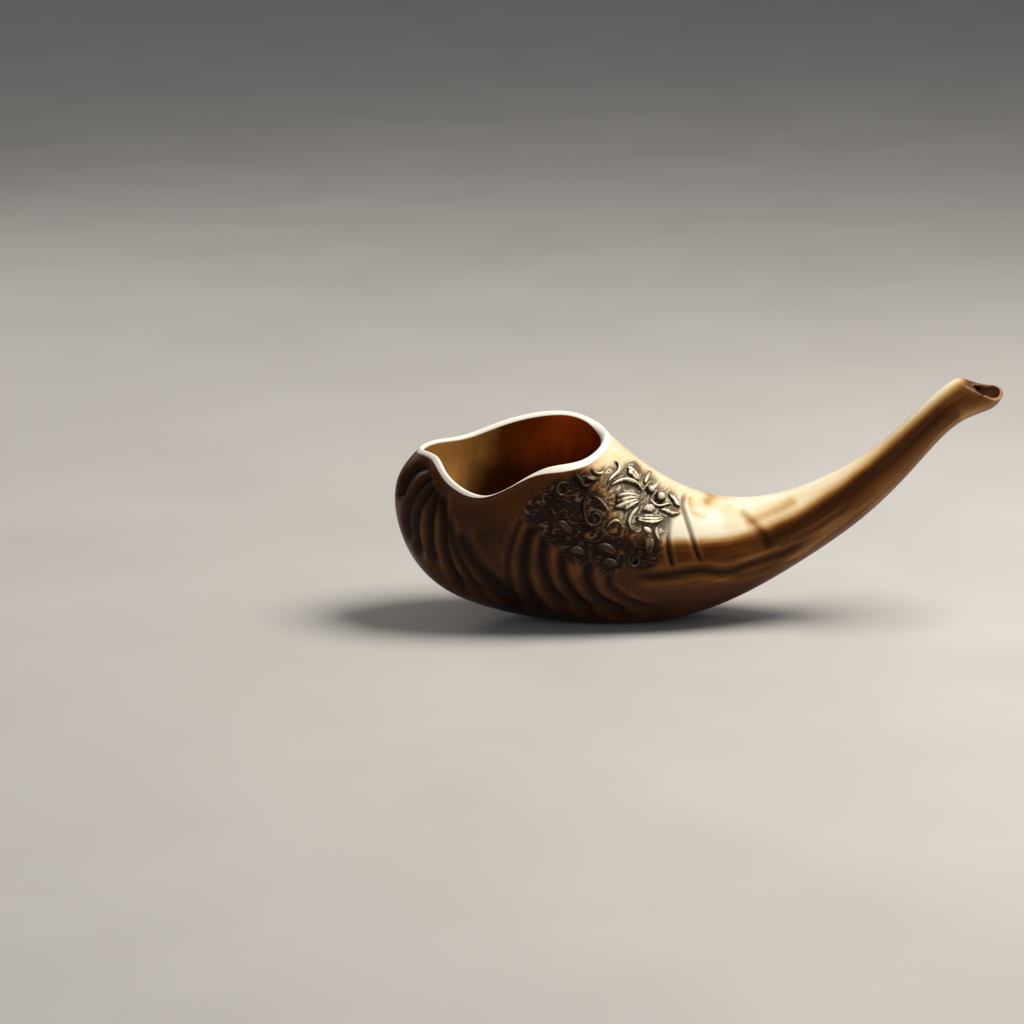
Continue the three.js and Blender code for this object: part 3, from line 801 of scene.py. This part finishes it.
def horn_material():
    """Polished horn: grain along its length, grooves darkened with painted shade and with painted highlights
    beside them, and a carved ground with dark hollows.
    """
    made, tree, shader = new_material("polished_horn_looks")
    streak_place = grain_place(tree, 400)
    streaks = noise(tree, streak_place, 5, 4)
    fine_streaks = noise(tree, streak_place, 22, 4)
    clouds = noise(tree, grain_place(tree, 22), 1.2, 3)
    pale = attribute(tree, "pale")
    tone = attribute(tree, "tone")
    groove = attribute(tree, "groove")
    carved = attribute(tree, "carved")
    carving = attribute(tree, "carving")
    outline = attribute(tree, "outline")

    for field, strength in ((streaks, 0.24), (fine_streaks, 0.12), (clouds, 0.20)):
        swing = math_node(tree, "SUBTRACT", field, 0.5)
        tone = math_node(tree, "MULTIPLY_ADD", swing, strength, tone)
    # Painted highlight beside the grooves.
    tone = math_node(tree, "MULTIPLY_ADD", attribute(tree, "light"), 0.16, tone)
    colour = ramp(tree, tone, HORN_COLOURS)
    # Painted shade in the grooves.
    shade = math_node(tree, "MULTIPLY", groove, 0.94)
    groove_shade_colour = mix_colour(tree, pale, GROOVE_SHADE_BROWN, GROOVE_SHADE_PALE)
    colour = mix_colour(tree, shade, colour, groove_shade_colour)

    # On the carved ground the hollows are dark, and in the brown part the ridges get a painted sheen that is
    # a little lighter.
    ridge = between(tree, carving, 0.15, 0.75)
    hollow = math_node(tree, "SUBTRACT", 1.0, ridge)
    hollow = math_node(tree, "MULTIPLY", hollow, carved)
    hollow = math_node(tree, "MULTIPLY", hollow, math_node(tree, "MULTIPLY_ADD", pale, -0.05, 0.93))
    # Close around the relief pieces the skin is darkened too, by patina and painted shade.
    hollow = math_node(tree, "MAXIMUM", hollow, math_node(tree, "MULTIPLY", outline, 0.92))
    hollow_colour = mix_colour(tree, pale, HOLLOW_BROWN, HOLLOW_PALE)
    # Painted sheen on the ridges in the brown part.
    ridge_sheen = math_node(tree, "MULTIPLY", ridge, carved)
    ridge_sheen = math_node(tree, "MULTIPLY", ridge_sheen, math_node(tree, "MULTIPLY_ADD", pale, -0.38, 0.38))
    colour = mix_colour(tree, ridge_sheen, colour, RIDGE_SHEEN)
    colour = mix_colour(tree, hollow, colour, hollow_colour)

    inside = attribute(tree, "inside")
    colour = mix_colour(tree, inside, colour, inside_colours(tree))
    lip = attribute(tree, "lip")
    colour = mix_colour(tree, lip, colour, ramp(tree, lip, LIP_COLOURS))
    tree.links.new(colour, shader.inputs["Base Color"])

    rough = math_node(tree, "MULTIPLY_ADD", fine_streaks, 0.14, 0.24)
    rough = math_node(tree, "MULTIPLY_ADD", groove, 0.25, rough)
    rough = math_node(tree, "MULTIPLY_ADD", carved, 0.15, rough)
    rough = math_node(tree, "MULTIPLY_ADD", inside, 0.12, rough)
    tree.links.new(rough, shader.inputs["Roughness"])
    relief = math_node(tree, "MULTIPLY_ADD", streaks, 0.5, fine_streaks)
    bump = [("Strength", 0.12), ("Distance", 0.0004), ("Height", relief)]
    tree.links.new(add(tree, "Bump", bump), shader.inputs["Normal"])
    shader.inputs["Specular IOR Level"].default_value = HORN_GLOSS
    return made


SILVER_COLOURS = [
    (0.0, (0.008, 0.004, 0.002)),
    (0.2, (0.040, 0.023, 0.012)),
    (0.45, (0.20, 0.14, 0.085)),
    (0.75, (0.70, 0.58, 0.40)),
    (1.0, (0.90, 0.82, 0.66)),
]


def silver_material(name, bright):
    """Warm aged castings, light on their crests and dark near the horn.

    In the brown part of the horn their tone is lower, partly from patina and partly from painted shade, and
    bright is what is added to it there.
    """
    made, tree, shader = new_material(name)
    position = add(tree, "NewGeometry", output="Position")
    tarnish = noise(tree, position, 420, 5, 0.6)
    chasing = noise(tree, position, 1500, 3, 0.5)
    crest = attribute(tree, "crest")
    swing = math_node(tree, "SUBTRACT", tarnish, 0.5)
    wear = math_node(tree, "MULTIPLY_ADD", swing, 0.55, crest)
    pale = attribute(tree, "pale")
    # Darker where the horn is brown: partly patina, partly painted shade.
    share = math_node(tree, "MULTIPLY_ADD", pale, 0.76 - bright, 0.24 + bright)
    tone = math_node(tree, "MULTIPLY", wear, share)
    colour = ramp(tree, tone, SILVER_COLOURS)
    tree.links.new(colour, shader.inputs["Base Color"])
    rough = math_node(tree, "MULTIPLY_ADD", wear, -0.22, 0.55)
    tree.links.new(rough, shader.inputs["Roughness"])
    bump = [("Strength", 0.3), ("Distance", 0.0003), ("Height", chasing)]
    tree.links.new(add(tree, "Bump", bump), shader.inputs["Normal"])
    shader.inputs["Metallic"].default_value = 0.2
    shader.inputs["Specular IOR Level"].default_value = SILVER_GLOSS
    return made


def floor_material():
    made, tree, shader = new_material("pale_floor")
    position = add(tree, "NewGeometry", output="Position")
    specks = noise(tree, position, 9, 6, 0.5)
    colour = ramp(tree, specks, [(0.3, (0.50, 0.48, 0.45)), (0.7, (0.54, 0.52, 0.49))])
    tree.links.new(colour, shader.inputs["Base Color"])
    shader.inputs["Roughness"].default_value = 0.75
    return made


# ---------------------------------------------------------------- studio

FLOOR_RADIUS = 9.0
VIEW_ELEVATION = math.radians(15.5)
VIEW_DISTANCE = 1.441  # to the flat under the horn, along the view
VIEW_LEFT = 0.04605  # the picture's middle is this far left of that flat
VIEW_UP = 0.0485  # and this far above it
VIEW_LENS = 110


def make_floor():
    shape = bmesh.new()
    place = Matrix.Translation(REST)
    bmesh.ops.create_circle(shape, cap_ends=True, segments=96, radius=FLOOR_RADIUS, matrix=place)
    mesh = bpy.data.meshes.new("floor")
    shape.to_mesh(mesh)
    shape.free()
    floor = bpy.data.objects.new("floor", mesh)
    bpy.context.scene.collection.objects.link(floor)
    mesh.materials.append(floor_material())


def make_camera():
    towards = Vector((0, math.cos(VIEW_ELEVATION), -math.sin(VIEW_ELEVATION)))
    up = Vector((0, math.sin(VIEW_ELEVATION), math.cos(VIEW_ELEVATION)))
    data = bpy.data.cameras.new("camera")
    data.lens = VIEW_LENS
    data.sensor_width = 36
    camera = bpy.data.objects.new("camera", data)
    camera.location = Vector(REST) - towards * VIEW_DISTANCE - Vector((VIEW_LEFT, 0, 0)) + up * VIEW_UP
    camera.rotation_euler = (math.pi / 2 - VIEW_ELEVATION, 0, 0)
    bpy.context.scene.collection.objects.link(camera)
    bpy.context.scene.camera = camera


def add_light(name, place, aim, size, energy, colour):
    data = bpy.data.lights.new(name, "AREA")
    data.shape = "DISK"
    data.size = size
    data.energy = energy
    data.color = colour
    light = bpy.data.objects.new(name, data)
    light.location = place
    light.rotation_euler = (Vector(aim) - Vector(place)).to_track_quat("-Z", "Y").to_euler()
    bpy.context.scene.collection.objects.link(light)


def make_lights():
    middle = (cad_low + cad_high) / 2
    add_light("key", (0.55, -0.05, 1.05), middle, 0.6, 17, (1, 0.96, 0.90))
    add_light("fill", (-0.8, -1.5, 0.8), middle, 1.2, 2.5, (0.98, 0.98, 1))
    add_light("edge", (-0.7, 0.8, 0.6), middle, 0.4, 2, (1, 0.95, 0.9))
    world = bpy.data.worlds.new("studio")
    world.use_nodes = True
    background = world.node_tree.nodes["Background"]
    background.inputs["Color"].default_value = (0.95, 0.96, 1, 1)
    background.inputs["Strength"].default_value = 0.18
    bpy.context.scene.world = world


# ---------------------------------------------------------------- scene

horn = make_horn(horn_material())
depsgraph = bpy.context.evaluated_depsgraph_get()
horn_tree = BVHTree.FromObject(horn, depsgraph)
looks = {
    "aged_silver": silver_material("aged_silver_looks", 0.0),
    "bright_silver": silver_material("bright_silver_looks", 0.12),
}
for subpart in frame["record"]["subparts"]:
    if subpart["node"] != "horn":
        slot = subpart["material_slot"]
        make_relief(frame["nodes"][subpart["node"]], looks[slot], horn_tree)

make_floor()
make_lights()
make_camera()

bpy.context.scene.view_settings.view_transform = "Standard"
